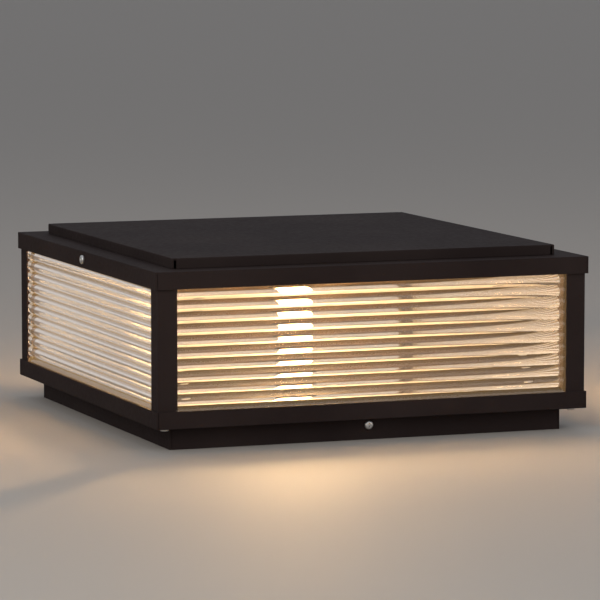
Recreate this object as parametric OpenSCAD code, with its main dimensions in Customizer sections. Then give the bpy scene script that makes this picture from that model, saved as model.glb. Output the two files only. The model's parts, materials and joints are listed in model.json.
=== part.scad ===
// Square pillar light: a folded-sheet base and cap joined by four slotted corner posts, which hold
// four panes of ribbed glass round one lamp. All sizes are in millimetres, +Z is up, and the origin
// is the middle of the face that stands on the pillar.

/* [Lantern] */
// Outside width and depth over the cap
cap_size = 400; // [370:5:460]
// Height of glass that shows between the tray and the cap
window_h = 104; // [90:1:140]

/* [Cap] */
// Height of the cap's folded skirt
cap_skirt_h = 15; // [14:0.5:22]
// Thickness of the cap's sheet
cap_sheet = 2; // [1.5:0.25:2.5]
// Gap between the cap's skirt and the posts inside it
cap_gap = 0.5; // [0.3:0.1:1.2]
// Thickness of the foam gasket under the cap
gasket_t = 1.5; // [1:0.25:2.5]
// Width of the foam gasket
gasket_w = 9; // [6:0.5:9.5]
// Outside radius of the folds
fold_r = 1; // [0.5:0.1:1.4]

/* [Top plate] */
// Distance from the cap's edge in to the raised top plate
top_inset = 22.5; // [12:0.5:40]
// Height of the raised top plate above the cap
top_h = 9; // [6:0.5:20]
// Thickness of the top plate's sheet
top_sheet = 2; // [1.5:0.25:3]
// Length of the open notch at each corner of the top plate
corner_relief = 4; // [3:0.5:8]
// Distance from the top plate's edge in to its studs
stud_inset = 37.5; // [20:0.5:60]
// Diameter of the studs under the top plate
stud_d = 5; // [4:0.5:6]
// Width across the flats of the stud nuts
stud_nut_af = 8; // [8:0.5:11]
// Height of the stud nuts
stud_nut_h = 4; // [3:0.5:6]
// Diameter of the sealing washers
washer_d = 11; // [10:0.5:14]
// Thickness of the sealing washers
washer_t = 1; // [0.8:0.1:2]

/* [Corner posts] */
// Width of the square corner posts
post_w = 17.6; // [16:0.2:24]
// Wall of the post in front of the glass
post_lip = 1.2; // [1:0.1:2]
// Depth of the glass slots in the posts
slot_depth = 4; // [3:0.25:5]

/* [Glass] */
// Thickness of a pane over its ribs
glass_t = 7; // [5:0.25:8]
// Distance from one rib to the next
rib_pitch = 10; // [6:0.5:16]
// Height of a rib above the groove beside it
rib_depth = 3; // [1:0.25:3]
// Height of the first groove above the foot of a pane
first_groove = 5; // [0:0.5:9]
// Running gap between a pane's faces and its slots
glass_gap = 0.3; // [0.2:0.05:0.6]
// Gap between a pane's ends and the bottom of its slots
glass_end_gap = 0.5; // [0.3:0.1:1]
// Thickness of the rubber channel's floor under a pane
channel_floor = 2.5; // [1.5:0.25:4]
// Distance from the tray's rim down to the lips of the rubber channel
channel_drop = 2; // [1:0.5:5]

/* [Upper frame] */
// Thickness of the frame's plate
frame_sheet = 1.5; // [1:0.25:2]
// Height of the glass rails' lower edges above the lower edge of the cap
web_cover = 0.6; // [0.4:0.1:1.5]

/* [Tray] */
// Height of the tray's folded rim
tray_h = 15; // [15:0.5:24]
// Thickness of the tray's sheet
tray_sheet = 1.5; // [1:0.25:2]
// Gap between the tray's rim and the posts inside it
tray_gap = 0.25; // [0.2:0.05:0.6]
// Diameter of the weep holes in the tray's overhang
weep_d = 5; // [3:0.25:5.5]

/* [Plinth] */
// Distance from the cap's edge in to the plinth
plinth_inset = 18.5; // [18:0.5:30]
// Height of the plinth
plinth_h = 20; // [20:1:60]
// Thickness of the plinth's sheet
plinth_sheet = 2; // [1.5:0.25:3]
// Width of the plinth's inward flange under the tray
plinth_flange = 15; // [13:0.5:24]
// Distance between the two rivets on each side of the plinth
rivet_spacing = 200; // [120:5:260]
// Diameter of the rivets
rivet_d = 4; // [3:0.2:4.8]
// Diameter of the rivet heads
rivet_head_d = 8; // [7:0.25:9.5]
// Height of the rivet heads
rivet_head_h = 1.2; // [0.8:0.1:1.6]
// Height of the plinth's side screws above the pillar
plinth_screw_z = 12.7; // [8:0.1:13]

/* [Mounting plate] */
// Width of the mounting plate
plate_w = 150; // [130:5:190]
// Thickness of the mounting plate
plate_t = 2; // [1.5:0.25:2.5]
// Width of the mounting plate's upturned ears
ear_w = 30; // [20:1:50]
// Gap between the ears and the plinth
ear_gap = 0.3; // [0.2:0.1:1]
// Distance between the anchor holes along X
anchor_x = 100; // [80:5:110]
// Distance between the anchor holes along Y
anchor_y = 240; // [180:5:250]
// Diameter of the anchor holes
anchor_d = 6.5; // [5:0.5:9]
// Length of the cable window in the mounting plate
window_x = 110; // [100:5:115]
// Width of the cable window in the mounting plate
window_y = 60; // [40:5:100]
// Corner radius of the cable window
window_r = 10; // [4:1:15]

/* [Floor cover and ceiling reflector] */
// Thickness of the floor cover and the ceiling reflector
inner_sheet = 1; // [0.6:0.1:1.5]
// Gap round the edges of the floor cover and the ceiling reflector
inner_gap = 0.6; // [0.4:0.1:1.5]
// Height of the floor cover's folded edge
cover_edge = 7; // [3:0.5:9]
// Distance of the floor cover screws from the middle, along X and Y
standoff_at = 160; // [140:1:164]
// Width across the flats of the floor cover's standoffs
standoff_af = 7; // [6:0.5:10]

/* [Lampholder] */
// Outside diameter of the lampholder
holder_d = 37; // [36:0.5:44]
// Height of the lampholder
holder_h = 35; // [33:0.5:38]
// Thickness of the lampholder's floor
holder_floor = 6; // [5.5:0.25:8]
// Height of the bracket's bridge above the tray
bracket_rise = 5.5; // [5:0.25:8]
// Width of the bracket
bracket_w = 26; // [20:1:34]
// Length of each foot of the bracket
bracket_foot = 15; // [12:0.5:20]
// Thickness of the bracket's sheet
bracket_sheet = 1.5; // [1:0.25:2]
// Distance between the lampholder's fixing screws
holder_screw_pitch = 22; // [18:0.5:24]

/* [Lamp] */
// Diameter of the lamp's glass tube
lamp_d = 30; // [28:0.5:32]
// Clear height between the lamp and the ceiling reflector
lamp_headroom = 9.5; // [8.5:0.5:25]
// Outside diameter of the lamp's screw cap
lamp_cap_d = 26.6; // [26:0.1:27]
// Height of the lamp's screw cap from its contact to its rim
lamp_cap_h = 27; // [25:0.5:30]
// Thickness of the lamp's glass
lamp_wall = 1; // [0.6:0.1:1.5]
// Gap between the screw cap and the lampholder's sleeve
cap_thread_gap = 0.3; // [0.2:0.05:0.6]

/* [Cable gland] */
// Distance of the cable gland from the middle
gland_at = 35; // [35:0.5:42]
// Diameter of the gland's thread
gland_thread_d = 16; // [16:0.5:18]
// Width across the flats of the gland
gland_af = 22; // [20:0.5:24]
// Height of the gland's collar under the tray
gland_collar_h = 5; // [4:0.25:5]
// Diameter of the cable that the gland takes
cable_d = 7.5; // [6:0.25:9]
// Length of the gland's rubber seal
seal_h = 9; // [7:0.5:9]

/* [Terminal block] */
// Distance of the terminal block from the middle
block_at = 45; // [45:0.5:60]
// Width of the terminal block, along its wires
block_w = 20; // [18:0.5:26]
// Height of the terminal block
block_h = 11.5; // [10:0.25:11.5]
// Distance from one terminal to the next
pole_pitch = 10; // [9:0.5:12]
// Diameter of the inner leads over their insulation
lead_d = 2.4; // [2:0.1:2.6]

/* [Screws] */
// Diameter of the screws
screw_d = 4; // [3.5:0.1:4.5]
// Diameter of the screw heads
head_d = 8; // [7:0.25:9]
// Height of the screw heads
head_h = 2.4; // [1.8:0.1:2.6]
// Width across the flats of the nuts
nut_af = 7; // [6.5:0.25:8]
// Height of the nuts
nut_h = 3.2; // [2.4:0.1:3.6]
// Length of the cap screws
cap_screw_len = 8; // [7.5:0.25:10]
// Length of the plinth screws
plinth_screw_len = 10; // [9:0.5:16]
// Length of the post screws
post_screw_len = 16; // [10:0.5:25]
// Length of the floor cover's screws
cover_screw_len = 6; // [5:0.5:7]
// Gap between a screw and its clearance hole
hole_gap = 0.25; // [0.2:0.05:0.5]
// Gap between a screw and the thread that holds it
thread_gap = 0.05; // [0.03:0.01:0.1]

/* [Hidden] */

$fn = 48;
// Overshoot that takes a cut clear of a face
over = 1;

// Heights, from the pillar up
tray_z = plinth_h;
floor_z = tray_z + tray_sheet;
rim_z = tray_z + tray_h;
skirt_z = rim_z + window_h;
cap_z = skirt_z + cap_skirt_h;
deck_z = cap_z - cap_sheet;
frame_z = deck_z - gasket_t;
post_z = frame_z - frame_sheet;
ceiling_z = deck_z - inner_sheet;
top_z = cap_z + top_h;

// Distances from the middle out to the faces of each side
cap_face = cap_size / 2;
post_face = cap_face - cap_sheet - cap_gap;
post_in = post_face - post_w;
post_mid = post_face - post_w / 2;
glass_face = post_face - post_lip - glass_gap;
glass_back_face = glass_face - glass_t;
channel_in = glass_back_face - glass_gap - post_lip;
tray_face = post_face + tray_gap + tray_sheet;
plinth_face = cap_face - plinth_inset;
ear_face = plinth_face - plinth_sheet - ear_gap;
top_face = cap_face - top_inset;
rivet_line = plinth_face - (plinth_sheet + plinth_flange) / 2;
weep_at = (plinth_face + channel_in) / 2;
stud_at = top_face - stud_inset;
floor_edge = channel_in - inner_gap;
ceiling_edge = post_in - 2 * inner_gap;
between_posts = 2 * (post_in - glass_gap);

// Cap screws: the nut stands just under the top of the upper frame, above the glass
nut_cover = 0.5;
nut_gap = 0.3;
// Foam over the glass under the nut, and what its pocket leaves of that
seal_min = 1;
seal_web = 0.6;
nut_corners = nut_af / cos(30);
cap_screw_z = frame_z - nut_af / 2 - nut_cover;
glass_top_z = cap_screw_z - nut_af / 2 - seal_min;
glass_z = floor_z + channel_floor;
nut_face = post_face - post_lip - nut_gap;
web_z = skirt_z + web_cover;

rivet_hole_d = rivet_d + 2 * thread_gap;
// What a bolt sticks out of its last nut
bolt_end = 2;
// Gap of parts that are pushed into each other
push_gap = 0.1;

// Lampholder and lamp, from the tray up
bridge_z = floor_z + bracket_rise;
seat_z = bridge_z + holder_floor;
bridge_half = holder_d / 2 + bracket_sheet;
bracket_rivet_y = bridge_half + bracket_foot / 2;
holder_screw_d = 3;
holder_screw_len = 6.5;
holder_screw_head_d = 5.6;
holder_screw_head_h = 2;
sleeve_wall = 0.8;
sleeve_gap = 0.2;
sleeve_r = lamp_cap_d / 2 + cap_thread_gap;
sleeve_h = 24;
tongue_rise = 3.2;
tongue_sheet = 0.6;
contact_gap = 0.2;
lamp_z = seat_z + tongue_rise + contact_gap;
lamp_rim_z = lamp_z + lamp_cap_h;
lamp_top_z = ceiling_z - lamp_headroom;

// Wiring: the height of the wires in the terminal block and in the lampholder
terminal_rise = 5.5;
entry_rise = 3;
terminal_z = floor_z + terminal_rise;
entry_z = bridge_z + entry_rise;
poles = 3;
block_half = poles * pole_pitch / 2;
block_ear = 8;
block_ear_h = 4;
block_screw_d = 3.5;
block_screw_len = 8;
block_screw_head_d = 6;
terminal_screw_d = 2.5;
lead_r = lead_d / 2;
wire_gap = 0.2;
wire_r = lead_r + wire_gap;
insert_wall = 0.6;
block_x0 = block_at - block_w / 2;
// Straight runs of a lead inside and outside its terminal, and how far out it starts to bend
lead_in = 4;
lead_out = 1;
lead_bend = 3;
entry_y = 8;
entry_x = 11;
stud_x = block_at;
stud_y = 38;
lug_z = floor_z + nut_h;
lug_sheet = 0.8;
barrel_wall = 0.6;
barrel_r = lead_r + barrel_wall;
barrel_x = 6;
barrel_l = 5;

// A block between two corners
module block(lo, hi) {
    translate(lo) cube(hi - lo);
}

// The same shape on all four sides; the first one faces -Y
module on_sides(sides = [0:3]) {
    for (i = sides) rotate([0, 0, 90 * i]) children();
}

// The same shape at four corners, unturned
module at_corners(x, y) {
    for (sx = [-1, 1]) for (sy = [-1, 1]) translate([sx * x, sy * y, 0]) children();
}

// A square plan with small round corners
module rounded_plan(half, r) {
    square([2 * half, 2 * (half - r)], center = true);
    square([2 * (half - r), 2 * half], center = true);
    for (sx = [-1, 1]) for (sy = [-1, 1])
        translate([sx * (half - r), sy * (half - r)]) circle(r);
}

// What rounding takes off the top edge of the side that faces -Y
module edge_waste(half, z, r) {
    translate([0, -half, z - r]) difference() {
        translate([-half - over, -over, 0]) cube([2 * (half + over), r + over, r + over]);
        translate([-half - 2 * over, r, 0]) rotate([0, 90, 0]) cylinder(r = r, h = 2 * half + 4 * over);
    }
}

// A folded pan that opens downwards, with its deck at the top
module pan(half, z0, z1, sheet) {
    difference() {
        translate([0, 0, z0]) linear_extrude(z1 - z0) rounded_plan(half, fold_r);
        translate([0, 0, z0 - over]) linear_extrude(z1 - sheet - z0 + over)
            square(2 * (half - sheet), center = true);
        on_sides() edge_waste(half, z1, fold_r);
    }
}

// A hexagon prism with two flats facing +Y and -Y
module hexagon(af, h) {
    cylinder(d = af / cos(30), h = h, $fn = 6);
}

// A nut standing on z = 0
module nut(af, h, d) {
    difference() {
        hexagon(af, h);
        translate([0, 0, -over]) cylinder(d = d + 2 * thread_gap, h = h + 2 * over);
    }
}

// A pan head with a cross recess, standing on z = 0
module pan_head(d = head_d, h = head_h) {
    head_round = h * 0.6;
    recess_l = d * 0.55;
    recess_w = d * 0.14;
    recess_z = h * 0.4;
    difference() {
        rotate_extrude() {
            square([d / 2 - head_round, h]);
            square([d / 2, h - head_round]);
            translate([d / 2 - head_round, h - head_round]) intersection() {
                circle(head_round);
                square(head_round);
            }
        }
        for (a = [0, 90]) rotate([0, 0, a])
            translate([-recess_l / 2, -recess_w / 2, recess_z]) cube([recess_l, recess_w, h]);
    }
}

// A pan-head screw whose head stands on z = 0 and whose shank hangs below
module pan_screw(len, d = screw_d, hd = head_d, hh = head_h) {
    tip = d * 0.2;
    pan_head(hd, hh);
    translate([0, 0, tip - len]) cylinder(d = d, h = len - tip);
    translate([0, 0, -len]) cylinder(d1 = d - 2 * tip, d2 = d, h = tip);
}

// A blind rivet: head on z = 0, body through the stack and its upset tail below
module blind_rivet(stack) {
    tail_d = rivet_d * 1.45;
    tail_h = rivet_d * 0.6;
    dome_r = (pow(rivet_head_d / 2, 2) + pow(rivet_head_h, 2)) / (2 * rivet_head_h);
    rotate_extrude() {
        intersection() {
            translate([0, rivet_head_h - dome_r]) circle(dome_r);
            square([rivet_head_d, rivet_head_h]);
        }
        translate([0, -stack]) square([rivet_d / 2, stack]);
        translate([0, -stack - tail_h]) square([tail_d / 2, tail_h]);
    }
}

// A round hole through everything near a height
module hole(d, z, depth = 6) {
    translate([0, 0, z - depth / 2]) cylinder(d = d, h = depth);
}

module at_rivets() {
    on_sides() for (sx = [-1, 1]) translate([sx * rivet_spacing / 2, -rivet_line, 0]) children();
}

// Steel plate that is anchored to the pillar; the plinth slips over its two ears
module mounting_plate() {
    ear_headroom = 0.6;
    ear_top = plinth_h - plinth_sheet - ear_headroom;
    color("dimgray") difference() {
        union() {
            block([-plate_w / 2, -ear_face, 0], [plate_w / 2, ear_face, plate_t]);
            for (m = [0, 1]) mirror([0, m, 0])
                block([-ear_w / 2, -ear_face, 0], [ear_w / 2, -ear_face + plate_t, ear_top]);
        }
        at_corners(anchor_x / 2, anchor_y / 2) hole(anchor_d, plate_t / 2);
        translate([0, 0, -over]) linear_extrude(plate_t + 2 * over) {
            square([window_x, window_y - 2 * window_r], center = true);
            square([window_x - 2 * window_r, window_y], center = true);
            for (sx = [-1, 1]) for (sy = [-1, 1])
                translate([sx * (window_x / 2 - window_r), sy * (window_y / 2 - window_r)]) circle(window_r);
        }
        for (m = [0, 1]) mirror([0, m, 0])
            translate([0, -ear_face + plate_t / 2, plinth_screw_z]) rotate([90, 0, 0])
                hole(screw_d + 2 * hole_gap, 0);
    }
}

module ear_nuts() {
    color("silver") for (m = [0, 1]) mirror([0, m, 0])
        translate([0, -ear_face + plate_t, plinth_screw_z]) rotate([-90, 0, 0]) nut(nut_af, nut_h, screw_d);
}

// Folded ring under the tray: four walls and an inward flange
module plinth() {
    color([0.16, 0.14, 0.14]) difference() {
        linear_extrude(plinth_h) rounded_plan(plinth_face, fold_r);
        translate([0, 0, -over]) linear_extrude(plinth_h - plinth_sheet + over)
            square(2 * (plinth_face - plinth_sheet), center = true);
        linear_extrude(plinth_h + over) square(2 * (plinth_face - plinth_flange), center = true);
        at_rivets() hole(rivet_hole_d, plinth_h);
        on_sides([0, 2]) translate([0, -plinth_face, plinth_screw_z]) rotate([90, 0, 0])
            hole(screw_d + 2 * hole_gap, 0, 8);
    }
}

module plinth_screws() {
    color("silver") on_sides([0, 2])
        translate([0, -plinth_face, plinth_screw_z]) rotate([90, 0, 0]) pan_screw(plinth_screw_len);
}

module plinth_rivets() {
    color("silver") at_rivets() translate([0, 0, floor_z]) blind_rivet(tray_sheet + plinth_sheet);
}

// Upward pan that carries the posts, the glass and the electrical parts
module tray() {
    color([0.16, 0.14, 0.14]) difference() {
        translate([0, 0, 2 * tray_z + tray_h]) mirror([0, 0, 1]) pan(tray_face, tray_z, rim_z, tray_sheet);
        at_corners(post_mid, post_mid) hole(screw_d + 2 * hole_gap, tray_z);
        at_rivets() hole(rivet_hole_d, tray_z);
        at_corners(0, bracket_rivet_y) hole(rivet_hole_d, tray_z);
        at_corners(standoff_at, standoff_at) hole(standoff_shank_d + 2 * thread_gap, tray_z);
        translate([-gland_at, 0, 0]) hole(gland_thread_d + 2 * hole_gap, tray_z);
        at_block_screws() hole(block_screw_d + 2 * thread_gap, tray_z);
        on_sides() translate([0, -weep_at, 0]) hole(weep_d, tray_z);
    }
}

// Slotted corner extrusion, drawn at the front left corner
module corner_post() {
    slot_w = glass_t + 2 * glass_gap;
    slot_face = post_face - post_lip;
    color([0.15, 0.13, 0.13]) difference() {
        translate([0, 0, floor_z]) linear_extrude(post_z - floor_z) difference() {
            translate([-post_face, -post_face]) square(post_w);
            translate([-post_in - slot_depth, -slot_face]) square([slot_depth + over, slot_w]);
            translate([-slot_face, -post_in - slot_depth]) square([slot_w, slot_depth + over]);
            translate([-post_mid, -post_mid]) circle(d = screw_d + 2 * thread_gap);
        }
        translate([-post_mid, -post_mid, 0]) countersink();
    }
}

module post_front_left() { corner_post(); }
module post_front_right() { rotate([0, 0, 90]) corner_post(); }
module post_back_right() { rotate([0, 0, 180]) corner_post(); }
module post_back_left() { rotate([0, 0, 270]) corner_post(); }

// The cone of a countersunk head, whose flat top is level with the upper frame
csk_h = (head_d - screw_d) / 2;

module countersink() {
    translate([0, 0, frame_z - csk_h])
        cylinder(d1 = screw_d + 2 * thread_gap, d2 = head_d + 2 * thread_gap, h = csk_h);
}

module lower_post_screws() {
    color("silver") at_corners(post_mid, post_mid)
        translate([0, 0, tray_z]) mirror([0, 0, 1]) pan_screw(post_screw_len);
}

module upper_post_screws() {
    recess_l = head_d * 0.56;
    recess_w = head_d * 0.14;
    recess_h = 1.2;
    color("silver") at_corners(post_mid, post_mid) difference() {
        union() {
            translate([0, 0, frame_z - csk_h]) cylinder(d1 = screw_d, d2 = head_d, h = csk_h);
            translate([0, 0, frame_z - post_screw_len]) cylinder(d = screw_d, h = post_screw_len - csk_h);
        }
        for (a = [0, 90]) rotate([0, 0, a])
            translate([-recess_l / 2, -recess_w / 2, frame_z - recess_h])
                cube([recess_l, recess_w, recess_h + over]);
    }
}

// Ribbed pane on the side that faces -Y: a flat back and half-round horizontal ribs in front
module pane() {
    half_l = post_in + slot_depth - glass_end_gap;
    pane_h = glass_top_z - glass_z;
    rib_r = (pow(rib_pitch / 2, 2) + pow(rib_depth, 2)) / (2 * rib_depth);
    rib_count = ceil((pane_h - first_groove) / rib_pitch);
    // How far the ribs run into the flat back
    rib_root = 0.5;
    color([0.95, 0.93, 0.85, 0.5]) translate([-half_l, -glass_face, glass_z])
        rotate([90, 0, 90]) linear_extrude(2 * half_l) {
            translate([rib_depth, 0]) square([glass_t - rib_depth, pane_h]);
            intersection() {
                square([rib_depth + rib_root, pane_h]);
                for (i = [-1:rib_count - 1])
                    translate([rib_r, first_groove + (i + 0.5) * rib_pitch]) circle(rib_r);
            }
        }
}

module glass_front() { pane(); }
module glass_right() { rotate([0, 0, 90]) pane(); }
module glass_back() { rotate([0, 0, 180]) pane(); }
module glass_left() { rotate([0, 0, 270]) pane(); }

// Rubber channel round the foot of each pane
module glazing_channels() {
    lip_z = rim_z - channel_drop;
    color([0.08, 0.08, 0.08]) on_sides() difference() {
        block([-between_posts / 2, -post_face, floor_z], [between_posts / 2, -channel_in, lip_z]);
        block([-between_posts, -glass_face - glass_gap, glass_z],
            [between_posts, -glass_back_face + glass_gap, lip_z + over]);
    }
}

// Foam strips between the top of the panes and the glass rails, with a pocket for each cap nut
module top_seals() {
    pocket = nut_corners / 2 + nut_cover;
    color([0.08, 0.08, 0.08]) difference() {
        on_sides()
            block([-between_posts / 2, -glass_face, glass_top_z],
                [between_posts / 2, -glass_back_face, post_z - post_lip]);
        on_sides([1, 3])
            block([-pocket, -post_face, glass_top_z + seal_web], [pocket, -channel_in, post_z]);
    }
}

// The ways up for the shanks and nuts of the cap screws
module cap_screw_ways() {
    slot_d = screw_d + 2 * glass_gap;
    nut_half = nut_corners / 2 + nut_cover;
    notch_in = cap_face - cap_screw_len - nut_cover;
    on_sides([1, 3]) {
        block([-nut_half, -post_face + post_lip, cap_screw_z], [nut_half, -notch_in, frame_z + over]);
        block([-slot_d / 2, -post_face - over, cap_screw_z], [slot_d / 2, -nut_face, frame_z + over]);
        translate([0, -post_face + post_lip / 2, cap_screw_z]) rotate([90, 0, 0])
            hole(slot_d, 0, post_lip + nut_gap);
    }
}

// Four rails of folded sheet between the posts, open downwards over the tops of the panes
module glass_rails() {
    color([0.2, 0.2, 0.2]) difference() {
        on_sides() difference() {
            block([-between_posts / 2, -post_face, web_z], [between_posts / 2, -channel_in, post_z]);
            block([-between_posts, -post_face + post_lip, web_z - over],
                [between_posts, -channel_in - post_lip, post_z - post_lip]);
        }
        cap_screw_ways();
    }
}

// Flat ring that ties the posts and the glass rails together
module upper_frame() {
    color([0.2, 0.2, 0.2]) difference() {
        on_sides() {
            block([-post_face, -post_face, post_z], [post_face, -channel_in, frame_z]);
            block([-post_face, -post_face, post_z], [-post_in, -post_in, frame_z]);
        }
        cap_screw_ways();
        at_corners(post_mid, post_mid) {
            hole(screw_d + 2 * hole_gap, frame_z);
            countersink();
        }
    }
}

// Dark coated sheet that covers the wiring space
module floor_cover() {
    notch = post_in - inner_gap;
    color([0.2, 0.17, 0.15]) difference() {
        block([-floor_edge, -floor_edge, rim_z - cover_edge], [floor_edge, floor_edge, rim_z]);
        inner = floor_edge - inner_sheet;
        block([-inner, -inner, rim_z - cover_edge - over], [inner, inner, rim_z - inner_sheet]);
        on_sides() block([-floor_edge - over, -floor_edge - over, 0], [-notch, -notch, rim_z + over]);
        hole(holder_d + 2 * inner_gap, rim_z);
        at_corners(standoff_at, standoff_at) hole(screw_d + 2 * hole_gap, rim_z);
    }
}

standoff_shank_d = standoff_af * 0.77;

// Pressed-in pillars that carry the floor cover
module cover_standoffs() {
    top = rim_z - inner_sheet;
    color("silver") at_corners(standoff_at, standoff_at) difference() {
        union() {
            translate([0, 0, floor_z]) hexagon(standoff_af, top - floor_z);
            translate([0, 0, tray_z]) cylinder(d = standoff_shank_d, h = tray_sheet + over);
        }
        translate([0, 0, top - cover_screw_len])
            cylinder(d = screw_d + 2 * thread_gap, h = cover_screw_len + over);
    }
}

module cover_screws() {
    color("silver") at_corners(standoff_at, standoff_at)
        translate([0, 0, rim_z]) pan_screw(cover_screw_len);
}

// Bridge-shaped steel bracket under the lampholder
module lampholder_bracket() {
    w = bracket_w / 2;
    foot = bridge_half + bracket_foot;
    color("silver") difference() {
        union() {
            block([-w, -bridge_half, bridge_z - bracket_sheet], [w, bridge_half, bridge_z]);
            for (m = [0, 1]) mirror([0, m, 0]) {
                block([-w, -bridge_half, floor_z], [w, -bridge_half + bracket_sheet, bridge_z]);
                block([-w, -foot, floor_z], [w, -bridge_half + bracket_sheet, floor_z + bracket_sheet]);
            }
        }
        at_corners(0, bracket_rivet_y) hole(rivet_hole_d, floor_z);
        at_corners(0, holder_screw_pitch / 2) hole(holder_screw_d + 2 * hole_gap, bridge_z);
    }
}

module bracket_rivets() {
    color("silver") at_corners(0, bracket_rivet_y)
        translate([0, 0, floor_z + bracket_sheet]) blind_rivet(tray_sheet + bracket_sheet);
}

// Black lampholder: a deep cup with two wire entries in its floor
module lampholder_body() {
    lip_round = 1.2;
    groove_r = 0.6;
    groove_rise = 5;
    cup_r = sleeve_r + sleeve_wall + sleeve_gap;
    color([0.06, 0.06, 0.06]) difference() {
        translate([0, 0, bridge_z]) rotate_extrude() {
            square([holder_d / 2, holder_h - lip_round]);
            square([holder_d / 2 - lip_round, holder_h]);
            translate([holder_d / 2 - lip_round, holder_h - lip_round]) circle(lip_round);
        }
        translate([0, 0, seat_z]) cylinder(r = cup_r, h = holder_h);
        translate([0, 0, seat_z + groove_rise]) rotate_extrude()
            translate([holder_d / 2, 0]) circle(groove_r);
        for (sy = [-1, 1]) translate([entry_x - over, sy * entry_y, entry_z])
            rotate([0, 90, 0]) cylinder(r = wire_r, h = holder_d / 2);
        at_corners(0, holder_screw_pitch / 2)
            translate([0, 0, bridge_z - over])
                cylinder(d = holder_screw_d + 2 * thread_gap,
                    h = holder_screw_len - bracket_sheet + hole_gap + over);
    }
}

// Threaded sleeve that the lamp's cap screws into
module lampholder_sleeve() {
    floor_lip = 1.2;
    color("goldenrod") translate([0, 0, seat_z]) difference() {
        cylinder(r = sleeve_r + sleeve_wall, h = sleeve_h);
        translate([0, 0, sleeve_wall]) cylinder(r = sleeve_r, h = sleeve_h);
        translate([0, 0, -over]) cylinder(r = sleeve_r - floor_lip, h = sleeve_wall + 2 * over);
    }
}

// Bent spring tongue that presses on the middle of the lamp's cap
module lampholder_contact() {
    tongue_w = 6;
    foot_x = -11;
    bend_x = -5;
    pad_x = -2;
    end_x = 3;
    slant = tongue_sheet / 2;
    pad_z = tongue_rise - tongue_sheet;
    color("goldenrod") translate([0, tongue_w / 2, seat_z]) rotate([90, 0, 0]) linear_extrude(tongue_w)
        polygon([[foot_x, 0], [bend_x, 0], [pad_x, pad_z], [end_x, pad_z], [end_x, tongue_rise],
            [pad_x - slant, tongue_rise], [bend_x - slant, tongue_sheet], [foot_x, tongue_sheet]]);
}

module lampholder_screws() {
    color("silver") at_corners(0, holder_screw_pitch / 2)
        translate([0, 0, bridge_z - bracket_sheet]) mirror([0, 0, 1])
            pan_screw(holder_screw_len, holder_screw_d, holder_screw_head_d, holder_screw_head_h);
}

function pole_y(i) = (i - (poles - 1) / 2) * pole_pitch;

module at_block_screws() {
    for (sy = [-1, 1]) translate([block_at, sy * (block_half + block_ear / 2), 0]) children();
}

module at_terminal_screws() {
    apart = block_w * 0.54;
    for (i = [0:poles - 1]) for (sx = [-1, 1])
        translate([block_at + sx * apart / 2, pole_y(i), 0]) children();
}

// Three-pole terminal block with an ear at each end
module terminal_block() {
    tower_w = pole_pitch * 0.84;
    color("whitesmoke") difference() {
        union() {
            block([block_x0, -block_half - block_ear, floor_z],
                [block_x0 + block_w, block_half + block_ear, floor_z + block_ear_h]);
            for (i = [0:poles - 1])
                block([block_x0, pole_y(i) - tower_w / 2, floor_z],
                    [block_x0 + block_w, pole_y(i) + tower_w / 2, floor_z + block_h]);
        }
        for (i = [0:poles - 1]) translate([block_x0 - over, pole_y(i), terminal_z])
            rotate([0, 90, 0]) cylinder(r = wire_r + insert_wall, h = block_w + 2 * over);
        at_terminal_screws() translate([0, 0, terminal_z])
            cylinder(d = terminal_screw_d + 2 * hole_gap, h = block_h);
        at_block_screws() hole(block_screw_d + 2 * hole_gap, floor_z, 3 * block_ear_h);
    }
}

// Brass tubes that clamp the wires
module terminal_inserts() {
    end = 1.5;
    color("gold") difference() {
        for (i = [0:poles - 1]) translate([block_x0 + end, pole_y(i), terminal_z])
            rotate([0, 90, 0]) cylinder(r = wire_r + insert_wall - thread_gap, h = block_w - 2 * end);
        for (i = [0:poles - 1]) translate([block_x0, pole_y(i), terminal_z])
            rotate([0, 90, 0]) cylinder(r = wire_r, h = block_w);
        at_terminal_screws() translate([0, 0, terminal_z])
            cylinder(d = terminal_screw_d + 2 * thread_gap, h = block_h);
    }
}

module terminal_screws() {
    screw_h = 4;
    slot_w = 0.6;
    color("silver") at_terminal_screws() translate([0, 0, terminal_z + wire_r + thread_gap]) difference() {
        cylinder(d = terminal_screw_d, h = screw_h);
        translate([-terminal_screw_d, -slot_w / 2, screw_h - slot_w])
            cube([2 * terminal_screw_d, slot_w, over]);
    }
}

module block_screws() {
    color("silver") at_block_screws() translate([0, 0, floor_z + block_ear_h])
        pan_screw(block_screw_len, block_screw_d, block_screw_head_d, holder_screw_head_h);
}

// Cable gland through the tray: body, rubber sleeve, dome nut below and locknut above
seal_wall = 2.75;
seal_end = 2;
gland_bore_r = cable_d / 2 + seal_wall;
gland_skirt = seal_h - seal_end;
gland_floor = 2.5;
gland_mouth_d = cable_d + 2;

module at_gland() {
    translate([-gland_at, 0, tray_z - gland_collar_h]) children();
}

module gland_body() {
    spigot_h = 9;
    color([0.12, 0.12, 0.12]) at_gland() difference() {
        union() {
            hexagon(gland_af, gland_collar_h);
            translate([0, 0, -gland_skirt])
                cylinder(d = gland_thread_d, h = gland_skirt + gland_collar_h + spigot_h);
        }
        translate([0, 0, -gland_skirt - over]) cylinder(r = gland_bore_r + push_gap, h = gland_skirt + over);
        hole(gland_mouth_d, 0, 6 * spigot_h);
    }
}

module gland_seal() {
    color([0.25, 0.25, 0.25]) at_gland() translate([0, 0, -seal_h]) difference() {
        cylinder(r = gland_bore_r, h = seal_h);
        hole(cable_d, seal_h / 2, 2 * seal_h);
    }
}

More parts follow.
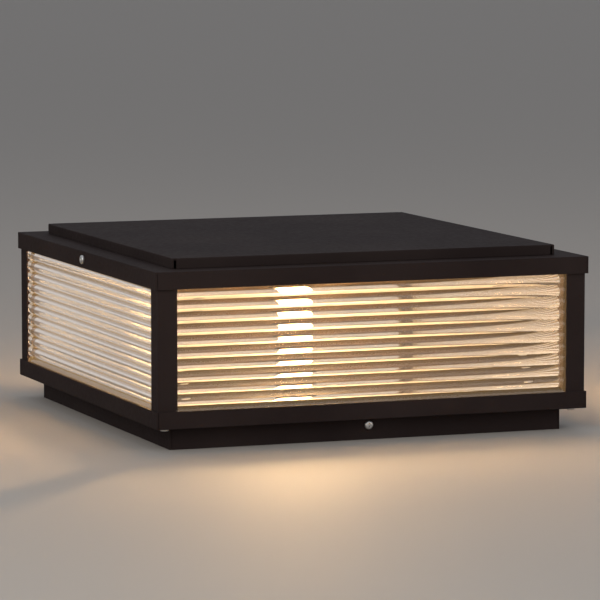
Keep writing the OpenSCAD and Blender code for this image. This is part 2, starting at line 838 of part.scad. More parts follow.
module gland_nut() {
    nut_z = -seal_h - gland_floor;
    dome_d = gland_af * 0.72;
    color([0.12, 0.12, 0.12]) at_gland() difference() {
        intersection() {
            translate([0, 0, nut_z]) hexagon(gland_af, -nut_z - nut_gap);
            // The turned dome at the mouth
            translate([0, 0, nut_z]) cylinder(d1 = dome_d, d2 = dome_d + 2 * gland_af, h = gland_af);
        }
        translate([0, 0, -seal_h]) cylinder(d = gland_thread_d + 2 * push_gap, h = seal_h + over);
        hole(gland_mouth_d, nut_z, 4 * gland_floor);
    }
}

module gland_locknut() {
    locknut_h = 4.5;
    color([0.12, 0.12, 0.12]) translate([-gland_at, 0, floor_z]) difference() {
        hexagon(gland_af, locknut_h);
        hole(gland_thread_d + 2 * thread_gap, 0, 3 * locknut_h);
    }
}

// Earth stud welded to the tray, with its two nuts and a ring lug
module earth_stud() {
    color("silver") translate([stud_x, stud_y, floor_z])
        cylinder(d = screw_d, h = 2 * nut_h + lug_sheet + bolt_end);
}

module earth_nuts() {
    color("gold") for (z = [floor_z, lug_z + lug_sheet])
        translate([stud_x, stud_y, z]) nut(nut_af, nut_h, screw_d);
}

module earth_lug() {
    color("silver") translate([stud_x, stud_y, lug_z]) difference() {
        union() {
            cylinder(r = screw_d, h = lug_sheet);
            translate([-barrel_x, -barrel_r, 0]) cube([barrel_x, 2 * barrel_r, lug_sheet]);
            translate([-barrel_x - barrel_l, 0, barrel_r]) rotate([0, 90, 0])
                cylinder(r = barrel_r, h = barrel_l);
        }
        hole(screw_d + 2 * hole_gap, 0);
        translate([-barrel_x - barrel_l - over, 0, barrel_r]) rotate([0, 90, 0])
            cylinder(r = lead_r + push_gap, h = barrel_l);
    }
}

// Leads: a smooth path through chosen points, swept with an eight-sided section
lead_sides = 8;
steps = 5;

function between(p, i, t) =
    let (a = p[max(i - 1, 0)], b = p[i], c = p[i + 1], d = p[min(i + 2, len(p) - 1)])
    0.5 * (2 * b + (c - a) * t + (2 * a - 5 * b + 4 * c - d) * t * t + (3 * b - a - 3 * c + d) * t * t * t);

function smooth_path(p) =
    concat([for (i = [0:len(p) - 2]) for (s = [0:steps - 1]) between(p, i, s / steps)], [p[len(p) - 1]]);

function unit(v) = v / norm(v);

module lead(points) {
    path = smooth_path(points);
    n = len(path);
    rings = [for (i = [0:n - 1])
        let (t = unit(path[min(i + 1, n - 1)] - path[max(i - 1, 0)]),
            side = unit(cross(t, [0, 0, 1])), up = cross(side, t))
        for (k = [0:lead_sides - 1])
            path[i] + lead_r * (cos(360 * k / lead_sides) * side + sin(360 * k / lead_sides) * up)];
    ends = [[for (k = [0:lead_sides - 1]) k], [for (k = [lead_sides - 1:-1:0]) (n - 1) * lead_sides + k]];
    walls = [for (i = [0:n - 2]) for (k = [0:lead_sides - 1])
        let (j = (k + 1) % lead_sides)
        [i * lead_sides + j, i * lead_sides + k, (i + 1) * lead_sides + k, (i + 1) * lead_sides + j]];
    polyhedron(rings, concat(ends, walls));
}

// From a terminal to the lampholder's floor
function supply_route(i, sy) = [
    [block_x0 + lead_in, pole_y(i), terminal_z],
    [block_x0 - lead_out, pole_y(i), terminal_z],
    [block_x0 - lead_bend, pole_y(i), terminal_z],
    [(block_x0 + holder_d / 2) / 2, (pole_y(i) + sy * entry_y) / 2, (terminal_z + entry_z) / 2],
    [holder_d / 2 + lead_bend, sy * entry_y, entry_z],
    [holder_d / 2 + lead_out, sy * entry_y, entry_z],
    [entry_x, sy * entry_y, entry_z]];

module live_lead() {
    color("saddlebrown") lead(supply_route(0, -1));
}

module neutral_lead() {
    color("royalblue") lead(supply_route(1, 1));
}

module earth_lead() {
    barrel_z = lug_z + barrel_r;
    mouth_x = stud_x - barrel_x - barrel_l;
    bow = 8;
    turn = 4;
    color("yellowgreen") lead([
        [block_x0 + lead_in, pole_y(2), terminal_z],
        [block_x0 - lead_out, pole_y(2), terminal_z],
        [block_x0 - lead_bend, pole_y(2), terminal_z],
        [block_x0 - bow, pole_y(2) + turn, terminal_z],
        [block_x0 - bow, stud_y - turn, barrel_z],
        [mouth_x - lead_bend, stud_y, barrel_z],
        [mouth_x - lead_out, stud_y, barrel_z],
        [mouth_x + barrel_l / 2, stud_y, barrel_z]]);
}

// Folded cap over the glass
module cap() {
    color([0.16, 0.14, 0.14]) difference() {
        pan(cap_face, skirt_z, cap_z, cap_sheet);
        at_corners(stud_at, stud_at) hole(stud_d + 2 * hole_gap, deck_z);
        on_sides([1, 3]) translate([0, -cap_face, cap_screw_z]) rotate([90, 0, 0])
            hole(screw_d + 2 * hole_gap, 0, 8);
    }
}

module cap_gasket() {
    outer = post_face - cap_gap;
    color([0.08, 0.08, 0.08]) translate([0, 0, frame_z]) linear_extrude(gasket_t) difference() {
        square(2 * outer, center = true);
        square(2 * (outer - gasket_w), center = true);
    }
}

// Raised plate on the cap: a shallow pan whose front and back folds stop short of the corners
module top_plate() {
    color([0.11, 0.11, 0.12]) difference() {
        pan(top_face, cap_z, top_z, top_sheet);
        for (mx = [0, 1]) for (my = [0, 1]) mirror([mx, 0, 0]) mirror([0, my, 0]) {
            block([-top_face + top_sheet, -top_face - over, cap_z - over],
                [-top_face + corner_relief, -top_face + top_sheet, top_z + over]);
            // The side fold nearly reaches the corner, with a square end
            block([-top_face - over, -top_face - over, cap_z - over],
                [-top_face + top_sheet + over, -top_face + fold_r, top_z + over]);
        }
    }
}

module top_plate_studs() {
    tip_z = ceiling_z - washer_t - stud_nut_h - bolt_end;
    color("silver") at_corners(stud_at, stud_at)
        translate([0, 0, tip_z]) cylinder(d = stud_d, h = top_z - top_sheet - tip_z);
}

module stud_washers() {
    color([0.2, 0.2, 0.2]) at_corners(stud_at, stud_at) translate([0, 0, ceiling_z - washer_t]) difference() {
        cylinder(d = washer_d, h = washer_t);
        hole(stud_d + 2 * thread_gap, 0);
    }
}

module stud_nuts() {
    color("silver") at_corners(stud_at, stud_at)
        translate([0, 0, ceiling_z - washer_t - stud_nut_h]) nut(stud_nut_af, stud_nut_h, stud_d);
}

module ceiling_reflector() {
    color("white") difference() {
        block([-ceiling_edge, -ceiling_edge, ceiling_z], [ceiling_edge, ceiling_edge, deck_z]);
        at_corners(stud_at, stud_at) hole(stud_d + 2 * hole_gap, deck_z);
    }
}

module cap_screws() {
    color("silver") on_sides([1, 3])
        translate([0, -cap_face, cap_screw_z]) rotate([90, 0, 0]) pan_screw(cap_screw_len);
}

// Nuts on the cap screws, behind the open slots of the upper frame
module cap_nuts() {
    color("silver") on_sides([1, 3])
        translate([0, -nut_face, cap_screw_z]) rotate([-90, 0, 0]) nut(nut_af, nut_h, screw_d);
}

// Lamp: contact, insulator, screw cap, glass tube and the diode column inside it
contact_h = 1.2;
contact_r = 4.8;
cap_foot_z = 5.7;
cap_foot_in = 2.2;
cap_wall = 0.4;
neck_h = 5;

module lamp_contact() {
    edge_r = 0.5;
    color("silver") translate([0, 0, lamp_z]) rotate_extrude() {
        translate([0, edge_r]) square([contact_r, contact_h - edge_r]);
        square([contact_r - edge_r, contact_h]);
        translate([contact_r - edge_r, edge_r]) circle(edge_r);
    }
}

module lamp_insulator() {
    rim = 0.4;
    foot_gap = 0.3;
    color([0.05, 0.05, 0.06]) translate([0, 0, lamp_z + contact_h])
        cylinder(r1 = contact_r + rim, r2 = lamp_cap_d / 2 - cap_foot_in - foot_gap,
            h = cap_foot_z - contact_h - foot_gap);
}

module lamp_cap() {
    r = lamp_cap_d / 2;
    bevel_w = 1.2;
    bevel_h = 2.5;
    color("silver") translate([0, 0, lamp_z]) rotate_extrude() polygon([
        [r - cap_foot_in, cap_foot_z], [r - bevel_w, cap_foot_z], [r, cap_foot_z + bevel_h], [r, lamp_cap_h],
        [r - cap_wall, lamp_cap_h], [r - cap_wall, cap_foot_z + bevel_h + cap_wall / 2],
        [r - bevel_w - cap_wall / 2, cap_foot_z + cap_wall], [r - cap_foot_in, cap_foot_z + cap_wall]]);
}

// Opal tube with a round end and a neck that is cemented into the screw cap
module lamp_envelope() {
    color([1, 0.95, 0.8]) rotate_extrude() difference() {
        envelope_profile(0);
        envelope_profile(lamp_wall);
        // The open foot of the neck
        translate([0, lamp_rim_z - neck_h - over])
            square([lamp_cap_d / 2 - cap_wall - push_gap - lamp_wall, neck_h + over]);
    }
}

// Half section of the tube, drawn inward by a wall
module envelope_profile(wall) {
    r = lamp_d / 2 - wall;
    neck_r = lamp_cap_d / 2 - cap_wall - push_gap - wall;
    neck_z = lamp_rim_z - neck_h;
    shoulder_z = lamp_rim_z + 7;
    shoulder_in = 0.7;
    shoulder_bend = 3;
    dome_z = lamp_top_z - lamp_d / 2;
    polygon([[0, neck_z], [neck_r, neck_z], [neck_r, lamp_rim_z],
        [r - shoulder_in, shoulder_z - shoulder_bend], [r, shoulder_z], [r, dome_z], [0, dome_z]]);
    intersection() {
        translate([0, dome_z]) circle(r);
        translate([0, shoulder_z]) square([lamp_d, lamp_top_z]);
    }
}

led_r = 8;
led_end = 14;

// Six-sided aluminium column that carries the diode strips
module led_carrier() {
    foot_z = lamp_rim_z - neck_h;
    foot_h = 2;
    foot_in = 1;
    color("silver") {
        translate([0, 0, foot_z]) cylinder(r = lamp_cap_d / 2 - lamp_wall - foot_in, h = foot_h);
        translate([0, 0, foot_z + foot_h])
            cylinder(r = led_r, h = lamp_top_z - led_end - foot_z - foot_h, $fn = 6);
    }
}

module led_strips() {
    strip_w = led_r * 0.8;
    strip_t = 1;
    inset = 3;
    face = led_r * cos(30);
    color([1, 0.85, 0.35]) for (i = [0:5]) rotate([0, 0, 30 + 60 * i])
        block([face, -strip_w / 2, lamp_rim_z + inset],
            [face + strip_t, strip_w / 2, lamp_top_z - led_end - inset]);
}

mounting_plate();
ear_nuts();
plinth();
plinth_screws();
plinth_rivets();
tray();
post_front_left();
post_front_right();
post_back_right();
post_back_left();
lower_post_screws();
upper_post_screws();
glass_front();
glass_right();
glass_back();
glass_left();
glazing_channels();
top_seals();
glass_rails();
upper_frame();
floor_cover();
cover_standoffs();
cover_screws();
lampholder_bracket();
bracket_rivets();
lampholder_body();
lampholder_sleeve();
lampholder_contact();
lampholder_screws();
terminal_block();
terminal_inserts();
terminal_screws();
block_screws();
gland_body();
gland_seal();
gland_nut();
gland_locknut();
earth_stud();
earth_nuts();
earth_lug();
live_lead();
neutral_lead();
earth_lead();
cap();
cap_gasket();
top_plate();
top_plate_studs();
stud_washers();
stud_nuts();
ceiling_reflector();
cap_screws();
cap_nuts();
lamp_contact();
lamp_insulator();
lamp_cap();
lamp_envelope();
led_carrier();
led_strips();
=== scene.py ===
import json
from math import asin, ceil, pi, radians

import bmesh
import bpy
from mathutils import Matrix, Vector


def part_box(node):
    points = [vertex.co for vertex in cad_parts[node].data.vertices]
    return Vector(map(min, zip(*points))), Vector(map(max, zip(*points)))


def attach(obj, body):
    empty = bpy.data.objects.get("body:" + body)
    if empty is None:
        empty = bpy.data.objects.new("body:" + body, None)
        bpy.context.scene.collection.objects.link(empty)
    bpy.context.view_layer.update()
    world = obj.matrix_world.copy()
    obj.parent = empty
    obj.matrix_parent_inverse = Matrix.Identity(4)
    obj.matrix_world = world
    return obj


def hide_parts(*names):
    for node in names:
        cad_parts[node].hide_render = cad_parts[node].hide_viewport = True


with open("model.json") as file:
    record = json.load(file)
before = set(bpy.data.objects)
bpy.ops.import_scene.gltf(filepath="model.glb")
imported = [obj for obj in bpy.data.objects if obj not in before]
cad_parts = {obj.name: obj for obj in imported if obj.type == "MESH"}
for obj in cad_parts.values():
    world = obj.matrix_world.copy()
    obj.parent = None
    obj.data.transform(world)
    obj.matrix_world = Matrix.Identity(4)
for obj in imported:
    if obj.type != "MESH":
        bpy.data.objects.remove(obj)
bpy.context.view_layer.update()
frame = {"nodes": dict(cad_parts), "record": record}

mm = 0.001
weld = 0.002 * mm  # points nearer than this become one
tiny = 0.001 * mm  # allowance where edges and faces are found by their place
axisX, axisY, axisZ = (1, 0, 0), (0, 1, 0), (0, 0, 1)
scene = bpy.context.scene
record = frame["record"]
slotOfNode = {part["node"]: part["material_slot"] for part in record["subparts"]}
bodyOfNode = {node: body for body, nodes in record["behaviour"]["bodies"].items() for node in nodes}

# Camera at the photograph's angle: a little above the light, off its front left corner
cameraSet = {
    "place": (-1.27115, -3.36376, 0.49502), "yaw": 20.785, "pitch": 6.225,
    "lens": 239.86, "sensor": 36.0, "farEnd": 50.0,
}


def makeCamera():
    data = bpy.data.cameras.new("camera")
    data.lens = cameraSet["lens"]
    data.sensor_width = cameraSet["sensor"]
    data.clip_end = cameraSet["farEnd"]
    camera = bpy.data.objects.new("camera", data)
    camera.location = cameraSet["place"]
    camera.rotation_euler = (radians(90 - cameraSet["pitch"]), 0, radians(-cameraSet["yaw"]))
    scene.collection.objects.link(camera)
    scene.camera = camera


makeCamera()
print("camera placed")


# Node helpers: the owner is a material or the world
def addNode(owner, kind, **values):
    node = owner.node_tree.nodes.new(kind)
    for name, value in values.items():
        if name in node.inputs:
            node.inputs[name].default_value = value
        else:
            setattr(node, name, value)
    return node


def join(owner, source, target):
    owner.node_tree.links.new(source, target)


def setInputs(node, values):
    for name, value in values.items():
        node.inputs[name].default_value = value


def newMaterial(name, colour, roughness, metallic=0.0):
    material = bpy.data.materials.new(name)
    material.use_nodes = True
    shader = material.node_tree.nodes["Principled BSDF"]
    setInputs(shader, {"Base Color": (*colour, 1), "Roughness": roughness, "Metallic": metallic})
    return material, shader


def objectPlace(material, stretch=None):
    place = addNode(material, "ShaderNodeTexCoord").outputs["Object"]
    if stretch is None:
        return place
    mapping = addNode(material, "ShaderNodeMapping", Scale=stretch)
    join(material, place, mapping.inputs["Vector"])
    return mapping.outputs["Vector"]


def noise(material, place, scale, detail):
    node = addNode(material, "ShaderNodeTexNoise", Scale=scale, Detail=detail)
    join(material, place, node.inputs["Vector"])
    return node.outputs["Fac"]


def twoTone(material, source, stops, dark, pale):
    node = addNode(material, "ShaderNodeValToRGB")
    for element, at, colour in zip(node.color_ramp.elements, stops, (dark, pale)):
        element.position = at
        element.color = (*colour, 1)
    join(material, source, node.inputs["Fac"])
    return node.outputs["Color"]


# most of a noise lies between 0.3 and 0.7
def spread(material, source, low, high, fromLow=0.3, fromHigh=0.7):
    node = addNode(material, "ShaderNodeMapRange")
    setInputs(node, {"From Min": fromLow, "From Max": fromHigh, "To Min": low, "To Max": high})
    join(material, source, node.inputs["Value"])
    return node.outputs["Result"]


def bump(material, shader, height, strength, distance):
    node = addNode(material, "ShaderNodeBump", Strength=strength, Distance=distance)
    join(material, height, node.inputs["Height"])
    join(material, node.outputs["Normal"], shader.inputs["Normal"])


def evenMix(material, first, second):
    node = addNode(material, "ShaderNodeMix", data_type="FLOAT")
    setInputs(node, {"Factor": 0.5})
    join(material, first, node.inputs["A"])
    join(material, second, node.inputs["B"])
    return node.outputs["Result"]


# 1 for any of these rays, 0 for the others
def anyRay(owner, *rays):
    path = addNode(owner, "ShaderNodeLightPath")
    found = path.outputs[rays[0]]
    for ray in rays[1:]:
        either = addNode(owner, "ShaderNodeMath", operation="MAXIMUM")
        join(owner, found, either.inputs[0])
        join(owner, path.outputs[ray], either.inputs[1])
        found = either.outputs["Value"]
    return found


def mixShaders(owner, share, first, second, output):
    blend = addNode(owner, "ShaderNodeMixShader")
    join(owner, share, blend.inputs["Fac"])
    join(owner, first, blend.inputs[1])
    join(owner, second, blend.inputs[2])
    join(owner, blend.outputs["Shader"], owner.node_tree.nodes[output].inputs["Surface"])


# Finishes: a noise is set by scale and detail, a bump by strength and depth
coatSet = {
    "cloud": (9.0, 3.0), "grain": (1400.0, 3.0), "peel": (260.0, 2.0), "stops": (0.35, 0.65),
    "rough": (0.7, 0.82), "bump": (0.5, 0.06 * mm),
}


def powderCoat(name, dark, pale, gloss):
    material, shader = newMaterial(name, pale, coatSet["rough"][1])
    place = objectPlace(material)
    grain = noise(material, place, *coatSet["grain"])
    peel = noise(material, place, *coatSet["peel"])
    cloud = noise(material, place, *coatSet["cloud"])
    colour = twoTone(material, cloud, coatSet["stops"], dark, pale)
    join(material, colour, shader.inputs["Base Color"])
    join(material, spread(material, peel, *coatSet["rough"]), shader.inputs["Roughness"])
    setInputs(shader, {"Specular IOR Level": gloss})
    bump(material, shader, evenMix(material, grain, peel), *coatSet["bump"])
    return material


metalSet = {"cloud": (40.0, 4.0), "grain": (2500.0, 3.0), "stops": (0.3, 0.7), "bump": (0.3, 0.02 * mm)}


def metal(name, dark, pale, rough):
    material, shader = newMaterial(name, pale, rough[1], 1.0)
    place = objectPlace(material)
    cloud = noise(material, place, *metalSet["cloud"])
    grain = noise(material, place, *metalSet["grain"])
    colour = twoTone(material, cloud, metalSet["stops"], dark, pale)
    join(material, colour, shader.inputs["Base Color"])
    join(material, spread(material, grain, *rough), shader.inputs["Roughness"])
    bump(material, shader, grain, *metalSet["bump"])
    return material


zincSet = {
    "spangle": 190.0, "dark": (0.36, 0.37, 0.38), "pale": (0.62, 0.63, 0.64), "stops": (0.1, 0.9),
    "rough": (0.3, 0.5), "grain": (900.0, 3.0), "bump": (0.3, 0.03 * mm),
}


def zincSheet():
    material, shader = newMaterial("zincSheet", zincSet["pale"], zincSet["rough"][1], 1.0)
    place = objectPlace(material)
    cells = addNode(material, "ShaderNodeTexVoronoi", Scale=zincSet["spangle"])
    join(material, place, cells.inputs["Vector"])
    tone = addNode(material, "ShaderNodeRGBToBW")
    join(material, cells.outputs["Color"], tone.inputs["Color"])
    colour = twoTone(material, tone.outputs["Val"], zincSet["stops"], zincSet["dark"], zincSet["pale"])
    join(material, colour, shader.inputs["Base Color"])
    rough = spread(material, tone.outputs["Val"], *zincSet["rough"], *zincSet["stops"])
    join(material, rough, shader.inputs["Roughness"])
    bump(material, shader, noise(material, place, *zincSet["grain"]), *zincSet["bump"])
    return material


plasticSet = {
    "cloud": (60.0, 4.0), "grainScale": 1800.0, "grainDetail": 2.0, "stops": (0.3, 0.7),
    "bump": (0.4, 0.04 * mm),
}


def plastic(name, dark, pale, rough, grainScale=plasticSet["grainScale"]):
    material, shader = newMaterial(name, pale, rough[1])
    place = objectPlace(material)
    grain = noise(material, place, grainScale, plasticSet["grainDetail"])
    cloud = noise(material, place, *plasticSet["cloud"])
    colour = twoTone(material, cloud, plasticSet["stops"], dark, pale)
    join(material, colour, shader.inputs["Base Color"])
    join(material, spread(material, grain, *rough), shader.inputs["Roughness"])
    bump(material, shader, grain, *plasticSet["bump"])
    return material


# painted glow: the glass itself emits a faint warm light, standing for the lamp's light that the ribs
# scatter inside the glass
glassSet = {
    "tint": (1.0, 0.975, 0.93), "index": 1.5, "rough": 0.03,
    "waves": (14.0, 2.0), "waveStretch": (1, 1, 4), "bump": (0.15, 0.12 * mm),
    "glow": (1.0, 0.6, 0.24), "paintedGlowStrength": 0.05, "clear": (0.93, 0.93, 0.92),
}


def ribbedGlass():
    material, shader = newMaterial("ribbedGlass", glassSet["tint"], glassSet["rough"])
    # the emission colour and strength set here paint a glow onto the glass, which is no lamp
    setInputs(shader, {
        "Transmission Weight": 1.0, "IOR": glassSet["index"],
        "Emission Color": (*glassSet["glow"], 1), "Emission Strength": glassSet["paintedGlowStrength"],
    })
    waves = noise(material, objectPlace(material, glassSet["waveStretch"]), *glassSet["waves"])
    bump(material, shader, waves, *glassSet["bump"])
    # light from the lamp and off the floor goes straight through, so the glow outside stays clean
    straight = anyRay(material, "Is Shadow Ray", "Is Diffuse Ray")
    clear = addNode(material, "ShaderNodeBsdfTransparent", Color=(*glassSet["clear"], 1))
    mixShaders(material, straight, shader.outputs["BSDF"], clear.outputs["BSDF"], "Material Output")
    return material


# the tube glows deeper orange at its foot, over this share of its height
opalSet = {
    "glass": (0.95, 0.93, 0.88), "rough": 0.25, "foot": (1.0, 0.5, 0.17), "body": (1.0, 0.63, 0.3),
    "footShare": 0.25, "stops": (0.1, 0.9), "strength": 320.0,
}


def litOpal():
    material, shader = newMaterial("litOpal", opalSet["glass"], opalSet["rough"])
    low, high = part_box("lamp_envelope")
    height = addNode(material, "ShaderNodeSeparateXYZ")
    join(material, objectPlace(material), height.inputs["Vector"])
    footTop = low.z + opalSet["footShare"] * (high.z - low.z)
    share = spread(material, height.outputs["Z"], 0, 1, low.z, footTop)
    colour = twoTone(material, share, opalSet["stops"], opalSet["foot"], opalSet["body"])
    join(material, colour, shader.inputs["Emission Color"])
    setInputs(shader, {"Emission Strength": opalSet["strength"]})
    return material


earthLeadSet = {
    "green": (0.05, 0.3, 0.05), "yellow": (0.75, 0.6, 0.04), "stripe": 260.0, "stops": (0.45, 0.55),
    "rough": 0.4,
}


def stripedLead():
    green, yellow = earthLeadSet["green"], earthLeadSet["yellow"]
    material, shader = newMaterial("greenYellowLead", yellow, earthLeadSet["rough"])
    wave = addNode(material, "ShaderNodeTexWave", Scale=earthLeadSet["stripe"], bands_direction="DIAGONAL")
    join(material, objectPlace(material), wave.inputs["Vector"])
    colour = twoTone(material, wave.outputs["Fac"], earthLeadSet["stops"], green, yellow)
    join(material, colour, shader.inputs["Base Color"])
    return material


# One finish for each material slot: dark and pale tone, then a coat's gloss or the others' roughness
finishes = {
    "powder_coat": powderCoat("powderCoat", (0.025, 0.0168, 0.0155), (0.034, 0.0235, 0.0212), 0.05),
    "coated_steel": powderCoat("coatedSteel", (0.009, 0.0054, 0.0032), (0.014, 0.0086, 0.0052), 0.02),
    "galvanised_steel": zincSheet(),
    "stainless_steel": metal("stainlessSteel", (0.5, 0.49, 0.47), (0.66, 0.64, 0.61), (0.22, 0.38)),
    "aluminium": metal("aluminium", (0.62, 0.62, 0.63), (0.78, 0.78, 0.78), (0.3, 0.45)),
    "ribbed_glass": ribbedGlass(),
    "black_rubber": plastic("blackRubber", (0.012, 0.012, 0.012), (0.024, 0.023, 0.022), (0.7, 0.85)),
    "white_enamel": plastic("whiteEnamel", (0.8, 0.78, 0.74), (0.86, 0.84, 0.8), (0.32, 0.42),
                            grainScale=500.0),
    "black_plastic": plastic("blackPlastic", (0.006, 0.0055, 0.0055), (0.012, 0.011, 0.0105), (0.4, 0.55)),
    "white_plastic": plastic("whitePlastic", (0.66, 0.65, 0.61), (0.76, 0.75, 0.71), (0.35, 0.5)),
    "brass": metal("brass", (0.6, 0.42, 0.17), (0.8, 0.6, 0.28), (0.22, 0.35)),
    "brown_insulation": plastic("brownLead", (0.1, 0.04, 0.018), (0.16, 0.07, 0.03), (0.35, 0.45)),
    "blue_insulation": plastic("blueLead", (0.02, 0.07, 0.3), (0.04, 0.12, 0.45), (0.35, 0.45)),
    "green_yellow_insulation": stripedLead(),
    "lamp_cap_metal": metal("nickel", (0.66, 0.64, 0.6), (0.8, 0.78, 0.74), (0.15, 0.28)),
    "black_glass": plastic("blackGlass", (0.008, 0.008, 0.01), (0.015, 0.015, 0.018), (0.06, 0.12)),
    "opal_glass": litOpal(),
    "phosphor": plastic("phosphor", (0.75, 0.5, 0.08), (0.9, 0.68, 0.16), (0.25, 0.35)),
}
print("finishes made:", len(finishes))


# Mesh helpers: angles in degrees
pieceSet = {"sharpAngle": 35, "flatTurn": 0.4}


def newPiece(bm, name, node, sharpAngle=pieceSet["sharpAngle"], flatWidth=None):
    # a piece takes its body and its finish from the node that it stands for
    # faces wider than flatWidth stay flat, so that only the rounded edges are shaded round
    smooth = [flatWidth is None or face.calc_area() < flatWidth * face.calc_perimeter()
              for face in bm.faces]
    mesh = bpy.data.meshes.new(name)
    bm.to_mesh(mesh)
    bm.free()
    # finding the sharp edges clears the flat marks, so these come after it
    mesh.set_sharp_from_angle(angle=radians(sharpAngle))
    mesh.polygons.foreach_set("use_smooth", smooth)
    mesh.materials.append(finishes[slotOfNode[node]])
    piece = bpy.data.objects.new(name, mesh)
    scene.collection.objects.link(piece)
    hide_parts(node)
    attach(piece, bodyOfNode[node])


def nodeShape(node):
    bm = bmesh.new()
    bm.from_mesh(frame["nodes"][node].data)
    bmesh.ops.remove_doubles(bm, verts=bm.verts, dist=weld)
    bmesh.ops.dissolve_limit(bm, angle_limit=radians(pieceSet["flatTurn"]), verts=bm.verts, edges=bm.edges)
    return bm


def vertsOf(geometry):
    return [item for item in geometry if isinstance(item, bmesh.types.BMVert)]


# each item once, in the order found
def once(items):
    return list(dict.fromkeys(items))


# Panes: rounded ribs outside, flat inside, cut off at the pane's edges
paneSet = {"ribPitch": 10 * mm, "ribDepth": 3 * mm, "firstGroove": 5 * mm, "arcSteps": 16, "sharpAngle": 50}


def paneShape():
    low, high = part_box("glass_front")
    pitch, depth = paneSet["ribPitch"], paneSet["ribDepth"]
    radius = (pitch ** 2 / 4 + depth ** 2) / (2 * depth)
    halfArc = asin(pitch / 2 / radius)
    bm = bmesh.new()
    end = bm.verts.new((low.x, low.y + depth, low.z + paneSet["firstGroove"] - pitch))
    for rib in range(ceil((high.z - low.z) / pitch) + 1):
        centre = (low.x, low.y + radius, end.co.z + pitch / 2)
        turned = bmesh.ops.spin(bm, geom=[end], cent=centre, axis=axisX, angle=-2 * halfArc,
                                steps=paneSet["arcSteps"])
        end = turned["geom_last"][0]
    for height, side in ((low.z, -1), (high.z, 1)):
        bmesh.ops.bisect_plane(bm, geom=bm.verts[:] + bm.edges[:], plane_co=(0, 0, height),
                               plane_no=(0, 0, side), clear_outer=True)
    ends = [vert for vert in bm.verts if len(vert.link_edges) == 1]
    backs = bmesh.ops.extrude_vert_indiv(bm, verts=ends)["verts"]
    for vert in backs:
        vert.co.y = high.y
    bmesh.ops.contextual_create(bm, geom=backs)
    face = bmesh.ops.contextual_create(bm, geom=bm.edges[:])["faces"]
    grown = bmesh.ops.extrude_face_region(bm, geom=face)["geom"]
    bmesh.ops.translate(bm, verts=vertsOf(grown), vec=(high.x - low.x, 0, 0))
    bmesh.ops.recalc_face_normals(bm, faces=bm.faces)
    return bm


for turn, side in enumerate(("front", "right", "back", "left")):
    pane = paneShape()
    quarters = Matrix.Rotation(radians(90 * turn), 3, "Z")
    bmesh.ops.rotate(pane, verts=pane.verts, cent=(0, 0, 0), matrix=quarters)
    newPiece(pane, "ribbedPane_" + side, "glass_" + side, paneSet["sharpAngle"])
print("panes made")


# Turned shapes: a profile in the XZ plane grows point by point and is spun round Z
def addProfileStep(bm, end, radius, height):
    grown = bmesh.ops.extrude_vert_indiv(bm, verts=[end])["verts"][0]
    grown.co = (radius, 0, height)
    return grown


def turnProfile(bm, steps):
    bmesh.ops.spin(bm, geom=bm.verts[:] + bm.edges[:], cent=(0, 0, 0), axis=axisZ, angle=2 * pi,
                   steps=steps, use_merge=True)
    bmesh.ops.remove_doubles(bm, verts=bm.verts, dist=weld)


def addThread(bm, root, crest, start, turns, pitch, section, turnSteps):
    steps = int(turns * turnSteps)
    corners = [bm.verts.new((root + out * (crest - root), 0, start + rise * pitch))
               for out, rise in section]
    profile = bmesh.ops.contextual_create(bm, geom=corners)["faces"]
    bmesh.ops.spin(bm, geom=profile, cent=(0, 0, 0), axis=axisZ, dvec=(0, 0, -pitch * turns / steps),
                   angle=2 * pi * turns, steps=steps, use_merge=False)


# Screws: rounded or countersunk head, tapered cross recess and a rolled thread
# the rounding and the recess are shares of the head, the tip a share of the core's radius
# a thread's section is how far out it stands and how far up it lies, in depths and pitches
screwSet = {
    "headRadius": 4 * mm, "headHeight": 2.4 * mm, "headRound": 0.6, "roundSteps": 5, "turnSteps": 32,
    "recessLength": 0.55, "recessWidth": 0.14, "recessDepth": 0.58, "recessTaper": 0.62,
    "shankRadius": 2 * mm, "tip": 0.2, "threadPitch": 0.7 * mm, "threadDepth": 0.32 * mm,
    "threadRoot": 0.05 * mm, "threadSection": ((0, -0.4), (1, 0), (0, 0.4)), "threadSteps": 20,
    "plainPitches": 1.5, "sharpAngle": 30,
    "capLength": 8 * mm, "plinthLength": 10 * mm, "postLength": 16 * mm, "coverLength": 6 * mm,
}


def addHeadAndCore(bm, coreRadius, length, countersunk):
    headRadius, headHeight = screwSet["headRadius"], screwSet["headHeight"]
    tip = coreRadius * screwSet["tip"]
    if countersunk:
        end = bm.verts.new((headRadius, 0, 0))
        neck = (coreRadius, coreRadius - headRadius)
    else:
        curve = headHeight * screwSet["headRound"]
        flat = bm.verts.new((headRadius - curve, 0, headHeight))
        arc = bmesh.ops.spin(bm, geom=[flat], cent=(headRadius - curve, 0, headHeight - curve),
                             axis=axisY, angle=pi / 2, steps=screwSet["roundSteps"])
        end = addProfileStep(bm, arc["geom_last"][0], headRadius, 0)
        neck = (coreRadius, 0)
    for radius, height in (neck, (coreRadius, tip - length), (coreRadius - tip, -length), (0, -length)):
        end = addProfileStep(bm, end, radius, height)
    turnProfile(bm, screwSet["turnSteps"])


